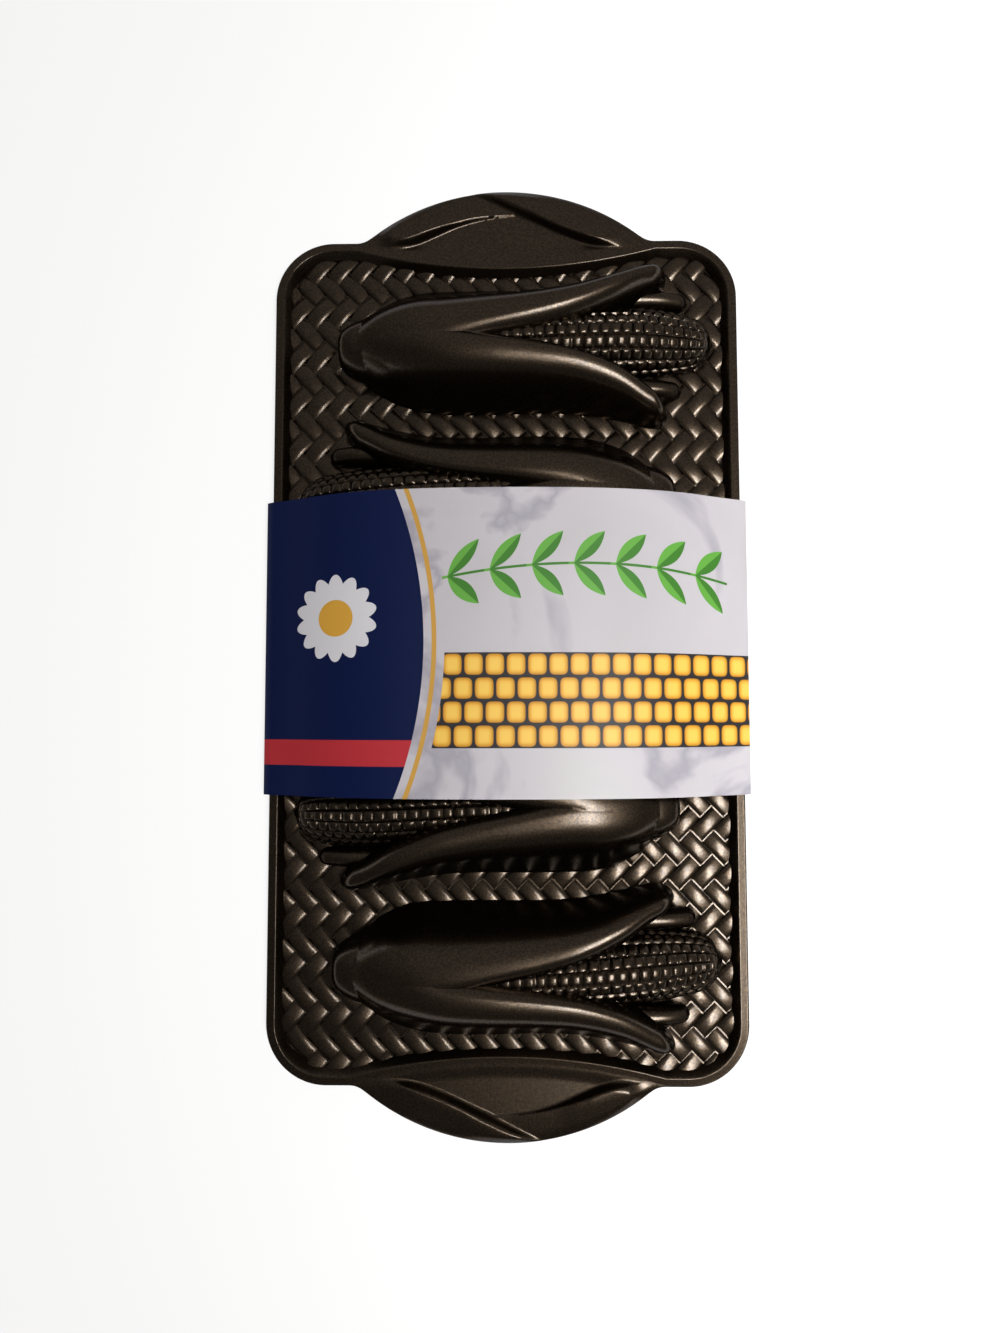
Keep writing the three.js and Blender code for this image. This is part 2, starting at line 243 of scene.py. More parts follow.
stub = {  # the blunt stem end
    "inner": [(0, -0.25), (0.015, -0.37), (0.05, -0.49), (0.1, -0.58), (0.14, -0.6)],
    "outer": [(0, 0.25), (0.015, 0.37), (0.05, 0.49), (0.1, 0.58), (0.14, 0.6)],
    "rise": [0.32, 0.43, 0.53, 0.58, 0.54],
    "ridge": [0.5, 0.5],
    "square": [2.4, 2.1],
    "lean": [0.3, 0.3],
    "nose": 0,
    "crowding": 1,
}
tipFold = {
    "rise": [0.36, 0.33, 0.28, 0.15],
    "ridge": [0.5, 0.5],
    "square": [2.2, 2.2],
    "lean": [0.3, 0.3],
    "nose": 4,
    "crowding": 2,
}
tipLeafUpper = {
    **tipFold,
    "inner": [(0.7, 0.5), (0.8, 0.56), (0.87, 0.59), (0.935, 0.63)],
    "outer": [(0.7, 0.97), (0.8, 0.95), (0.87, 0.93), (0.935, 0.9)],
}
tipLeafLower = {
    **tipFold,
    "inner": [(0.7, -0.46), (0.8, -0.51), (0.86, -0.54), (0.915, -0.57)],
    "outer": [(0.7, -0.92), (0.8, -0.9), (0.86, -0.88), (0.915, -0.85)],
}


def evenTimes(outline, along):  # times that are evenly spaced along the crest, and the crest's length
    times = np.linspace(0, 1, ear["crestSamples"])
    middle = (splineAt(outline["inner"], times) + splineAt(outline["outer"], times)) / 2
    crest = np.column_stack([middle[:, 0] * ear["length"], middle[:, 1] * ear["halfWidth"],
                             splineAt(outline["rise"], times)[:, 0] * (huskLevel - deckLevel)])
    run = np.concatenate([[0], np.cumsum(np.linalg.norm(np.diff(crest, axis=0), axis=1))])
    return np.interp(along * run[-1], run, times), run[-1]


def kernelBumps(around, along, length):  # staggered rounded blocks in rows along the cob
    rows = ear["kernelRows"]
    row = np.clip(np.floor(around * rows), 0, rows - 1)
    down = (along * length / ear["kernelLength"] + 0.5 * (row % 2)) % 1 * 2 - 1
    aside = (around * rows) % 1 * 2 - 1
    squareDown, squareAside, fullness = ear["kernelShape"]
    bump = ((1 - np.abs(down) ** squareDown) * (1 - np.abs(aside) ** squareAside)) ** fullness
    return bump * ear["kernelRise"] * easeStep((1 - along) * length / ear["kernelFade"])


def ridgePlaces(outline, around, along, grow=0, innerGrow=0, kernels=False):
    # around runs over the crest from the inner edge to the outer one, and along from the stem to the tip
    along = 1 - (1 - along) ** outline["crowding"]
    times, length = evenTimes(outline, along)
    scaleToEar = np.array([ear["length"], ear["halfWidth"]])
    shift = np.array([ear["stemX"], 0])
    inner = splineAt(outline["inner"], times) * scaleToEar + shift
    outer = splineAt(outline["outer"], times) * scaleToEar + shift
    across = outer - inner
    across /= np.linalg.norm(across, axis=1)[:, None]
    # a hollow has the same form with its edges, ends and crest drawn in
    inner = inner - across * innerGrow
    outer = outer + across * grow
    ends = ear["wallEnds"]
    endShift = grow * (easeStep(along * ends - (ends - 1)) - easeStep(1 - along * ends))
    inner[:, 0] += endShift
    outer[:, 0] += endShift
    rise = splineAt(outline["rise"], times)[:, 0] * (huskLevel - deckLevel) + grow
    if outline["nose"]:
        toEnd = np.clip((1 - along) * length / outline["nose"], 0, 1)
        nose = np.sqrt(1 - (1 - toEnd) ** 2)
        middle = (inner + outer) / 2
        inner = middle + (inner - middle) * nose[:, None]
        outer = middle + (outer - middle) * nose[:, None]
        rise = rise * nose
    rise = np.maximum(rise, ear["leastRise"])
    # the section is a half ellipse, made boxier by its power and skewed towards its ridge
    ridge = splineAt(outline["ridge"], times)[:, 0]
    power = 2 / splineAt(outline["square"], times)[:, 0]
    angle = math.pi * around
    turn = np.sign(0.5 - around) * np.abs(np.cos(angle)) ** power
    up = np.maximum(np.sin(angle), 0) ** power
    flank = -turn - splineAt(outline["lean"], times)[:, 0] * up * (1 - up)
    share = np.where(turn > 0, ridge * (1 - turn), ridge + (1 - ridge) * flank)
    places = np.column_stack([inner + (outer - inner) * share[:, None], deckLevel + rise * up])
    if kernels:  # they swell out of a core that is one kernel thinner
        half = np.linalg.norm(outer - inner, axis=1) / 2
        out = np.column_stack([-across * turn[:, None] * rise[:, None], up * half])
        out /= np.maximum(np.linalg.norm(out, axis=1), tiny)[:, None]
        places += out * (kernelBumps(around, along, length) - ear["kernelRise"])[:, None]
    return places


def ridgeSolid(name, outline, grid, floorLevel, **options):
    def place(around, along):
        return ridgePlaces(outline, around, along, **options)

    return closeDown(shapedGrid(name, grid[0], grid[1], place), floorLevel)


def makeHollow():  # the cup inside an ear, a wall's thickness in from its outside
    wall = ear["wall"]
    floorLevel = faceLevel - cutMargin
    leaves = [ridgeSolid("hollow", shape, ear["leafGrid"], floorLevel, grow=-wall, innerGrow=-wall / 2)
              for shape in (leafUpper, leafLower)]
    core = ridgeSolid("hollow", cob, ear["hollowCobGrid"], floorLevel,
                      grow=-wall, innerGrow=-wall, kernels=True)
    return combine(leaves[0], [leaves[1], core], "UNION")


def makeEar():
    foot = faceLevel + ear["seat"]
    piece = ridgeSolid("ear", cob, ear["cobGrid"], foot, kernels=True)
    trims = [ridgeSolid("trim", shape, ear["trimGrid"], foot)
             for shape in (stub, tipLeafUpper, tipLeafLower)]
    leaves = [ridgeSolid("leaf", shape, ear["leafGrid"], foot) for shape in (leafUpper, leafLower)]
    combine(piece, leaves + trims, "UNION")
    combine(piece, [makeHollow()], "DIFFERENCE")
    smooth(piece, ear["smoothAngle"])
    return piece


def earPlace(index):  # every second ear points the other way
    row = (ear["count"] - 1) / 2 - index
    turn = Matrix.Rotation(math.pi * (index % 2), 4, "Z")
    return Matrix.Translation((0, row * ear["pitch"] * mm, 0)) @ turn


firstEar = makeEar()
ears = [copyOf(firstEar, f"ear_{index + 1}", earPlace(index)) for index in range(ear["count"])]
bpy.data.objects.remove(firstEar, do_unlink=True)
print("ears:", len(ears[0].data.polygons), "faces each")


# Outline of the body and its two handles, as stations that run round the rim

rim = {
    "halfWidth": 95,
    "halfLength": 170.5,
    "cornerRadius": 24,
    "width": 6.2,
    "edgeRound": 0.7,
    "crestInset": 0.8,
    "crestWidth": 2.5,
    "crestTilt": 0.16,  # the band slopes a little outwards
    "crestRound": 0.5,
    "beadFall": 6,
    "footDrop": 0.7,
    "bottomRound": 0.8,
    "bottomShare": 0.3,  # middle of that round edge, as a share of its radius
    "stations": {"side": 50, "corner": 26, "flat": 10, "handle": 230},
    "acrossLines": {"edge": 9, "middle": 60, "bead": 20},
    "edgeRun": 0.9,  # width of the fine mesh at the outer edge
    "edgeCrowding": 1.6,
    "beadRun": 3.4,  # width of the fine mesh on the bead
    "smoothAngle": 50,
}
handle = {
    "reach": 22,
    "halfSpan": 62,
    "fillet": 8,
    "garlandDip": 8,
    "fieldThickness": 4.6,
    "leafRise": 3.6,
    "wallSlope": 1.2,
    "leastWall": 0.1,
    "leafFall": 0.45,  # share of its rise that a leaf loses over the run beyond its edge
    "fallRun": 11,
    "shoulderRun": 8,  # the leaves die away over this width, centred on each end of the span
    "edgeRun": 5,  # width of the rounded outer edge
    # foot and upper edge of each husk leaf's wall, across the pan and out from the body's end
    "overFoot": [(-22, 23), (-8, 17), (4.5, 11), (14.6, 6.6), (26, 1.5), (40, -2.9), (51, -3.6),
                 (62, -4.2)],
    "overEdge": [(-22, 25), (-7, 19.4), (7.5, 13.4), (19.5, 7.3), (31.4, 2.5), (47, -2), (54, -3.2),
                 (62, -4)],
    "underFoot": [(-62, -4), (-53, -2.8), (-44.6, -3.7), (-36, -0.8), (-28.8, 2.4), (-20.3, 6.2),
                  (-12, 8.8), (0.3, 10.9), (12, 11.9), (22, 12.3)],
    "underEdge": [(-62, -3.4), (-53, -1.4), (-43, 0.2), (-36, 2.4), (-24, 6.8), (-12, 10.1),
                  (0, 11.4), (12, 12.1), (22, 12.4)],
}
handleRadius = (handle["halfSpan"] ** 2 + handle["reach"] ** 2) / (2 * handle["reach"]) - handle["fillet"]
handleCentre = rim["halfLength"] + handle["reach"] - handleRadius
rimInnerEnd = rim["halfLength"] - rim["width"]


def handleOuter(x):  # round edge of the far handle, with a fillet at each shoulder
    filletY = rim["halfLength"] + handle["fillet"]
    reach = math.hypot(handle["halfSpan"], filletY - handleCentre)
    meetX = handle["halfSpan"] * handleRadius / reach
    arc = handleCentre + np.sqrt(np.maximum(handleRadius ** 2 - x ** 2, 0))
    side = handle["halfSpan"] - np.abs(x)
    fillet = filletY - np.sqrt(np.maximum(handle["fillet"] ** 2 - side ** 2, 0))
    return np.where(np.abs(x) > meetX, fillet, arc)


def garland(x):  # inner edge of the rim where it swings in below the handle
    return rimInnerEnd - handle["garlandDip"] * (1 - (x / handle["halfSpan"]) ** 2)


def halfOutline():  # outer and inner points from the right side, round the far end, to the left side
    count = rim["stations"]
    straight = rim["halfLength"] - rim["cornerRadius"]
    cornerX = rim["halfWidth"] - rim["cornerRadius"]
    innerX = rim["halfWidth"] - rim["width"]
    innerRadius = rim["cornerRadius"] - rim["width"]
    up = np.linspace(0, straight, count["side"], endpoint=False)
    outer = [np.column_stack([np.full_like(up, rim["halfWidth"]), up])]
    inner = [np.column_stack([np.full_like(up, innerX), up])]
    turn = np.linspace(0, math.pi / 2, count["corner"], endpoint=False)
    circle = np.column_stack([np.cos(turn), np.sin(turn)])
    outer.append(circle * rim["cornerRadius"] + (cornerX, straight))
    inner.append(circle * innerRadius + (cornerX, straight))
    x = np.linspace(cornerX, handle["halfSpan"], count["flat"], endpoint=False)
    outer.append(np.column_stack([x, np.full_like(x, rim["halfLength"])]))
    inner.append(np.column_stack([x, np.full_like(x, rimInnerEnd)]))
    x = np.linspace(handle["halfSpan"], 0, count["handle"] // 2, endpoint=False)
    outer.append(np.column_stack([x, handleOuter(x)]))
    inner.append(np.column_stack([x, garland(x)]))
    right = np.concatenate(outer), np.concatenate(inner)
    middle = [np.array([[0, handleOuter(np.zeros(1))[0]]]), np.array([[0, garland(0)]])]
    mirrored = [side[:0:-1] * (-1, 1) for side in right]
    return [np.concatenate(parts) for parts in zip(right, middle, mirrored)]


halfOuter, halfInner = halfOutline()
outerLine = np.concatenate([halfOuter, -halfOuter])
innerLine = np.concatenate([halfInner, -halfInner])


def leafEdge(points, x):  # how far out from the body's end a leaf's edge lies
    points = np.asarray(points, float)
    slope = np.gradient(points[:, 1], points[:, 0])
    step = np.clip(np.searchsorted(points[:, 0], x) - 1, 0, len(points) - 2)
    run = points[step + 1, 0] - points[step, 0]
    part = np.clip((x - points[step, 0]) / run, 0, 1)
    square, cube = part ** 2, part ** 3
    bend = (2 * cube - 3 * square + 1) * points[step, 1] + (3 * square - 2 * cube) * points[step + 1, 1]
    return bend + run * ((cube - 2 * square + part) * slope[step] + (cube - square) * slope[step + 1])


def leafHeight(footLine, edgeLine, x, y):  # a steep wall up to the leaf's edge, then a gentle fall outwards
    foot = rim["halfLength"] + leafEdge(footLine, x)
    edge = rim["halfLength"] + leafEdge(edgeLine, x)
    wall = np.maximum(edge - foot, handle["leastWall"])
    rise = np.minimum(handle["wallSlope"] * wall, handle["leafRise"])
    fall = handle["leafFall"] * easeStep((y - edge) / handle["fallRun"])
    return rise * easeStep((y - foot) / wall) * (1 - fall)


def handleRise(x, y):  # the husk leaves over the bare field of the far handle
    spanEnd = handle["halfSpan"] + handle["shoulderRun"] / 2
    shoulders = easeStep((spanEnd - np.abs(x)) / handle["shoulderRun"])
    under = leafHeight(handle["underFoot"], handle["underEdge"], x, y)
    over = leafHeight(handle["overFoot"], handle["overEdge"], x, y)
    toEdge = 1 - np.clip((handleOuter(x) - y) / handle["edgeRun"], 0, 1)
    return np.maximum(under, over) * shoulders * (1 - toEdge ** 2)


def rimTop(outDistance, inDistance, x, y):  # level of the bead, and of the handles beyond it
    crestTo = rim["width"] - rim["crestInset"]
    crestFrom = crestTo - rim["crestWidth"]
    foot = deckLevel - rim["footDrop"]
    soft = rim["crestRound"]
    run = np.sqrt(np.clip(crestFrom - inDistance, 0, crestFrom) ** 2 + soft ** 2) - soft
    slope = (rimLevel - foot) / (math.hypot(crestFrom, soft) - soft)
    band = rimLevel - rim["crestTilt"] * np.clip(inDistance - crestFrom, 0, rim["crestWidth"])
    beyond = np.where(y < 0, -1, 1)
    field = faceLevel + handle["fieldThickness"] + handleRise(x * beyond, np.abs(y))
    fall = easeStep((inDistance - crestTo) / rim["beadFall"])
    bead = np.where(inDistance < crestFrom, rimLevel - slope * run, band + (field - band) * fall)
    roundOff = np.clip(1 - outDistance / rim["edgeRound"], 0, 1)
    return bead - rim["edgeRound"] * (1 - np.sqrt(1 - roundOff ** 2))


def rimRings():  # the rim's section at each station: over its top, then back along its underside
    lines = rim["acrossLines"]
    edgeRun, beadRun = rim["edgeRun"], rim["beadRun"]
    stations = len(outerLine)
    width = np.linalg.norm(outerLine - innerLine, axis=1)[:, None]
    edgeShare = np.linspace(0, 1, lines["edge"], endpoint=False) ** rim["edgeCrowding"]
    middleShare = np.linspace(0, 1, lines["middle"], endpoint=False)[None]
    beadShare = np.linspace(1, 0, lines["bead"])
    fromOuter = np.concatenate([
        np.repeat(edgeShare[None] * edgeRun, stations, axis=0),
        edgeRun + (width - edgeRun - beadRun) * middleShare,
        width - beadShare[None] * beadRun,
    ], axis=1)
    share = (fromOuter / width)[..., None]
    top = outerLine[:, None] * (1 - share) + innerLine[:, None] * share
    level = rimTop(fromOuter, width - fromOuter, top[..., 0], top[..., 1])
    topPlaces = np.concatenate([top, level[..., None]], axis=2)
    # down the inner wall, across the flat bottom and up the rounded outer edge
    bottom = rim["bottomRound"]
    midway = bottom * rim["bottomShare"]
    underside = [(width[:, 0], 0), (bottom, 0), (midway, midway), (0, bottom)]
    under = []
    for away, above in underside:
        part = (np.full(stations, away) / width[:, 0])[:, None]
        flat = outerLine * (1 - part) + innerLine * part
        under.append(np.column_stack([flat, np.full(stations, faceLevel + above)]))
    return np.concatenate([topPlaces, np.stack(under, axis=1)], axis=1)


def makeRim():
    rings = rimRings()
    stations, lines = rings.shape[:2]

    def place(around, along):
        section = np.rint(around * lines).astype(int) % lines
        station = np.rint(along * stations).astype(int) % stations
        return rings[station, section]

    piece = shapedGrid("rim_and_handles", lines, stations, place)
    closeSeams(piece)
    smooth(piece, rim["smoothAngle"])
    return piece


rimPiece = makeRim()
print("rim and handles:", len(rimPiece.data.polygons), "faces")


# Deck: a twill weave of flat strands, cast between the ears

weave = {
    "column": 9.255,
    "row": 9.61,
    "phase": (1.64, -1.7),  # middle of a strand that runs down to the right
    "phaseStep": (0.5, -2),  # where that middle lies in weave steps
    "repeat": 4,  # strands in one repeat of the twill
    "crownAbove": 0.1,
    "crownFall": 1.15,
    "crownAside": 0.12,
    "toe": (0.6, 1.5),  # run and depth of the flat end that shows where a strand dips under the next
    "sideGap": 0.06,
    "gapDepth": 2.5,
    "shoulder": (1.9, 3.5),  # run and radius of the rounded long edges
    "endLines": (0, 0.54, 0.6, 3.2),  # mesh lines, in from an edge
    "sideLines": (0, 0.5, 1.1, 1.9),
    "rootDepth": 0.3,
    "underRim": 1.5,
    "seat": 0.1,  # the slab's bottom is this far above the baking face
    "trimAbove": 3,  # height over the deck of the block that trims the strands
    "smoothAngle": 35,
}
weaveCell = 1 / math.hypot(1 / weave["column"], 1 / weave["row"])


def mirroredMarks(half, fromEdge):  # mesh lines near both edges and one in the middle
    edge = half - np.array(fromEdge)
    return np.concatenate([-edge, [0], edge[::-1]])


def strandTop(around, along):  # top of one strand, in millimetres along and aside of its middle
    endMarks = mirroredMarks(weaveCell, weave["endLines"])
    sideMarks = mirroredMarks(weaveCell / 2 - weave["sideGap"], weave["sideLines"])
    x = endMarks[np.rint(around * (len(endMarks) - 1)).astype(int)]
    y = sideMarks[np.rint(along * (len(sideMarks) - 1)).astype(int)]
    run, radius = weave["shoulder"]
    past = np.clip(np.abs(y) - sideMarks[-1] + run, 0, run)
    drop = weave["crownFall"] * (x / weaveCell) ** 2 + weave["crownAside"] * (2 * y / weaveCell) ** 2
    drop += radius - np.sqrt(radius ** 2 - past ** 2)
    toeRun, toeDepth = weave["toe"]
    atToe = np.abs(x) > weaveCell - toeRun + tiny
    drop = np.where(atToe, toeDepth, np.minimum(drop, weave["gapDepth"]))
    return np.column_stack([x, y, deckLevel + weave["crownAbove"] - drop])


def makeStrand(slabTop):
    piece = shapedGrid("strand", 2 * len(weave["endLines"]), 2 * len(weave["sideLines"]), strandTop)
    return closeDown(piece, slabTop - weave["rootDepth"])


def strandPlaces(reach):  # middles of the strands in weave steps, and whether each one rises to the right
    steps = math.ceil(reach[0] / weave["column"] + reach[1] / weave["row"]) + 1
    for first in range(-steps, steps):
        for second in range(-steps, steps):
            inRepeat = (first - second) % weave["repeat"]
            if inRepeat == 0:
                yield first + 1, second + 0.5, True
            if inRepeat == weave["repeat"] - 1:
                yield first + 0.5, second + 1, False


def makeWeave(reach, slabTop):  # all the strands, joined into one mesh
    up = np.array([weave["column"], weave["row"]]) / 2
    down = up * (1, -1)
    firstStep, secondStep = weave["phaseStep"]
    strand = makeStrand(slabTop)
    strands = []
    for first, second, rises in strandPlaces(reach):
        x, y = weave["phase"] + (first - firstStep) * up + (second - secondStep) * down
        if abs(x) > reach[0] + weave["column"] or abs(y) > reach[1] + weave["row"]:
            continue
        along, aside = (up, -down) if rises else (down, up)
        turn = Matrix(((along[0] / weaveCell, aside[0] / weaveCell, 0, x * mm),
                       (along[1] / weaveCell, aside[1] / weaveCell, 0, y * mm),
                       (0, 0, 1, 0), (0, 0, 0, 1)))
        strands.append(copyOf(strand, "strand", turn))
    bpy.data.objects.remove(strand, do_unlink=True)
    makeActive(strands[0])
    for strand in strands:
        strand.select_set(True)
    bpy.ops.object.join()
    return bpy.context.object


def prism(name, outline, bottom, top):  # an upright block with that outline
    deselectAll()
    bpy.ops.mesh.primitive_circle_add(vertices=len(outline), fill_type="NGON")
    piece = bpy.context.object
    piece.name = name
    moveVertices(piece, np.column_stack([outline, np.full(len(outline), bottom)]))
    bpy.ops.object.mode_set(mode="EDIT")
    bpy.ops.mesh.select_all(action="SELECT")
    bpy.ops.mesh.extrude_region_move(TRANSFORM_OT_translate={"value": (0, 0, (top - bottom) * mm)})
    bpy.ops.object.mode_set(mode="OBJECT")
    return faceOut(piece)


def makeDeck():
    bottom = faceLevel + weave["seat"]
    slabTop = deckLevel + weave["crownAbove"] - weave["gapDepth"]
    width = np.linalg.norm(outerLine - innerLine, axis=1)[:, None]
    part = weave["underRim"] / width
    outline = innerLine * (1 - part) + outerLine * part
    strands = makeWeave(np.abs(outline).max(axis=0), slabTop)
    piece = prism("woven_deck_cast", outline, bottom, slabTop)
    border = prism("border", outline, bottom - cutMargin, deckLevel + weave["trimAbove"])
    combine(strands, [border], "INTERSECT")
    combine(piece, [strands], "UNION")
    hollow = makeHollow()
    cutters = [copyOf(hollow, "cutter", earPlace(index)) for index in range(ear["count"])]
    bpy.data.objects.remove(hollow, do_unlink=True)
    combine(piece, cutters, "DIFFERENCE")
    smooth(piece, weave["smoothAngle"])
    return piece


deckPiece = makeDeck()
print("deck:", len(deckPiece.data.polygons), "faces")


# Sleeve: one strip of printed board folded round the pan and glued inside the back

sleeve = {
    "thickness": 0.5,
    "restGap": 0.3,  # the front leaves its folds this far above the rim
    "foldRadius": 0.9,
    "arch": (24, 8, 70),  # run and lift of the front's curve at a fold, and its run at the crown
    "lapInset": 40,
    "lapWidth": 18,
    "lapRamp": 4,
    "archSteps": 60,
    "archSkip": 2,  # steps left out at the fold, so that it can be round
    "backSteps": 40,
    "foldSteps": 7,
    "wallSteps": 6,
    "stripsAlong": 72,
    "smoothAngle": 40,
}


def halfProfile(side, crown, lapStart):  # outer face of the right half, from the lap round to the crown
    fold = rimLevel + sleeve["restGap"]
    archRun, archLift, archCrown = sleeve["arch"]
    times = np.linspace(0, 1, sleeve["archSteps"])[:, None]
    rest = 1 - times
    start, leave = np.array([side, fold]), np.array([side - archRun, fold + archLift])
    arrive, top = np.array([archCrown, crown]), np.array([0, crown])
    arch = rest ** 3 * start + 3 * rest ** 2 * times * leave
    arch = arch + 3 * rest * times ** 2 * arrive + times ** 3 * top
    bend = sleeve["foldRadius"]
    back = np.linspace(lapStart, side - bend, sleeve["backSteps"])
    turn = np.linspace(-90, 0, sleeve["foldSteps"])[1:-1] * math.pi / 180
    wall = np.linspace(bend, fold - bend, sleeve["wallSteps"])
    return np.concatenate([
        np.column_stack([back, np.zeros_like(back)]),
        np.column_stack([side - bend + bend * np.cos(turn), bend + bend * np.sin(turn)]),
        np.column_stack([np.full_like(wall, side), wall]),
        arch[sleeve["archSkip"]:],
    ])


def makeSleeve():
    low, high = boxInMm("sleeve")
    board = sleeve["thickness"]
    lapStart = sleeve["lapInset"] - high[0] + board
    right = halfProfile(high[0], high[2], lapStart)
    left = right[:-1][::-1] * (-1, 1)
    # the left half ends as the lap, one board higher than the part it is glued to
    wallEnd = int(np.argmax(left[:, 1] <= tiny))
    back = np.linspace(left[wallEnd, 0], lapStart + sleeve["lapWidth"], sleeve["backSteps"])
    lift = board * easeStep((back - lapStart + sleeve["lapRamp"]) / sleeve["lapRamp"])
    profile = np.concatenate([right, left[:wallEnd], np.column_stack([back, lift])])

    def place(around, along):
        index = np.rint(around * (len(profile) - 1)).astype(int)
        y = low[1] + (high[1] - low[1]) * along
        return np.column_stack([profile[index, 0], y, profile[index, 1]])

    piece = shapedGrid("printed_sleeve", len(profile) - 1, sleeve["stripsAlong"], place)
    bpy.ops.object.mode_set(mode="EDIT")
    bpy.ops.mesh.select_all(action="SELECT")
    bpy.ops.mesh.normals_make_consistent(inside=False)
    bpy.ops.object.mode_set(mode="OBJECT")
    crownFace = max(piece.data.polygons, key=lambda face: face.center.z)
    if crownFace.normal.z < 0:
        piece.data.flip_normals()
    return piece


def thickenSleeve(piece):  # the printed face stays where it is, and the bare board grows inwards
    makeActive(piece)
    boardWall = piece.modifiers.new("board", "SOLIDIFY")
    boardWall.thickness = sleeve["thickness"] * mm
    boardWall.offset = -1
    boardWall.use_even_offset = True
    boardWall.material_offset = 1
    boardWall.material_offset_rim = 1
    bpy.ops.object.modifier_apply(modifier=boardWall.name)
    smooth(piece, sleeve["smoothAngle"])


sleevePiece = makeSleeve()
print("sleeve:", len(sleevePiece.data.polygons), "faces on its printed side")


# Materials

def colour(code):  # sRGB hex to linear
    channels = [int(code[start:start + 2], 16) / 255 for start in (1, 3, 5)]
    linear = [value / 12.92 if value <= 0.04045 else ((value + 0.055) / 1.055) ** 2.4
              for value in channels]
    return linear + [1]


def addNode(tree, kind, settings=None, inputs=(), stops=()):
    # inputs are named or in order, and a node among them gives its first output; stops are a ramp's colours
    made = tree.nodes.new("ShaderNode" + kind)
    for name, value in (settings or {}).items():
        setattr(made, name, value)
    for socket, value in inputs.items() if isinstance(inputs, dict) else enumerate(inputs):
        if isinstance(value, bpy.types.Node):
            value = value.outputs[0]
        if isinstance(value, bpy.types.NodeSocket):
            tree.links.new(value, made.inputs[socket])
        else:
            made.inputs[socket].default_value = value
    for count, (spot, code) in enumerate(stops):
        marks = made.color_ramp.elements
        mark = marks[count] if count < 2 else marks.new(spot)
        mark.position = spot
        mark.color = colour(code)
    return made


def newMaterial(name):
    material = bpy.data.materials.new(name)
    material.use_nodes = True
    material.node_tree.nodes.clear()
    return material, material.node_tree


coat = {
    "flakeSize": 0.8,  # real flake is finer, and is drawn as coarse as it needs to show
    "flakeColours": ((0.36, "#302820"), (0.7, "#524434")),
    "flakeRange": (0.3, 0.7),  # from bare coat to full flake
    "roughness": (0.38, 0.28),  # between the flakes, and on them
    "rippleSize": 2.2,
    "rippleDepth": 0.03,
    "rippleStrength": 0.16,
    "edgeTint": "#766f6c",
    "clearWeight": 0.35,
    "clearRoughness": 0.2,
    "clearIor": 1.65,
}


def bronzeNonstick():  # cast aluminium under a dark gloss non-stick coat with fine bronze flake
    material, tree = newMaterial("bronzeNonstickCoat")
    place = addNode(tree, "TexCoord")
    flake = addNode(tree, "TexNoise", inputs={
        "Vector": place.outputs["Object"], "Scale": 1 / (coat["flakeSize"] * mm), "Detail": 2,
        "Roughness": 0.6})
    tone = addNode(tree, "ValToRGB", inputs=[flake], stops=coat["flakeColours"])
    gloss = addNode(tree, "MapRange", inputs={
        "Value": flake,
        "From Min": coat["flakeRange"][0], "From Max": coat["flakeRange"][1],
        "To Min": coat["roughness"][0], "To Max": coat["roughness"][1]})
    ripple = addNode(tree, "TexNoise", inputs={
        "Vector": place.outputs["Object"], "Scale": 1 / (coat["rippleSize"] * mm), "Detail": 3})
    bump = addNode(tree, "Bump", inputs={
        "Strength": coat["rippleStrength"], "Distance": coat["rippleDepth"] * mm, "Height": ripple})
    shader = addNode(tree, "BsdfPrincipled", inputs={
        "Base Color": tone, "Metallic": 1, "Roughness": gloss, "Normal": bump,
        "Specular Tint": colour(coat["edgeTint"]),
        "Coat Weight": coat["clearWeight"], "Coat Roughness": coat["clearRoughness"],
        "Coat IOR": coat["clearIor"]})
    addNode(tree, "OutputMaterial", inputs={"Surface": shader})
    return material


artwork = {  # places on the sleeve's front are from the middle of the pan
    "marbleSize": 110,
    "marble": ((0.3, "#b9b6b9"), (0.47, "#c1bdc2"), (0.49, "#aba7af"), (0.5, "#a39fa9"),
               (0.53, "#c4c0c5"), (0.7, "#c5c3c3")),
    "discCentre": (-190, 2),  # a navy disc that runs off the left edge
    "discRadius": 159,
    "discColour": "#041440",
    "arcRadius": 163,
    "arcHalfWidth": 0.9,
    "arcColour": "#c99a45",
    "flowerCentre": (-66, 12),
    "flowerRadius": 17,
    "petals": 14,
    "petalDepth": 3.4,
    "petalColour": "#dcdbe0",
    "heartShare": 0.42,
    "heartColour": "#d9a441",
    "stripeY": -40,
    "stripeHalfWidth": 5,
    "stripeColour": "#b8323a",
    "bandY": -20,
    "bandHalfWidth": 18,
    "bandInset": 4,  # gap between the gold arc and the band
    "kernelPitch": (8, 9),
    "kernelHalfSize": (3.6, 4.1),
    "kernelColours": ((0, "#f0c65c"), (0.3, "#e0a73a"), (0.85, "#b97a22"), (0.92, "#5b3f1c"),
                      (0.98, "#2b2a2d")),  # from a kernel's middle out to the gap
    "sprigMiddle": (32, 32),
    "sprigHalfLength": 56,
    "sprigArch": 0.0018,  # fall of the stem per square millimetre from its middle
    "leafPitch": 16,
    "leafHalfSize": (8.6, 3),
    "leafAngle": 46,
    "leafColours": ("#3f7a2c", "#62a342"),  # shaded half and lit half
    "stemHalfWidth": 0.5,
    "frontFrom": 3,  # lower than this the board is bare of artwork
    "backColour": "#c8c7c8",
    "grainSize": 0.9,
    "grainDepth": 0.02,
    "grainStrength": 0.08,
    "grainRange": (0.3, 0.7),
    "roughness": (0.36, 0.44),
    "varnish": 0.25,  # how much it mirrors, 0.5 being plain gloss
}


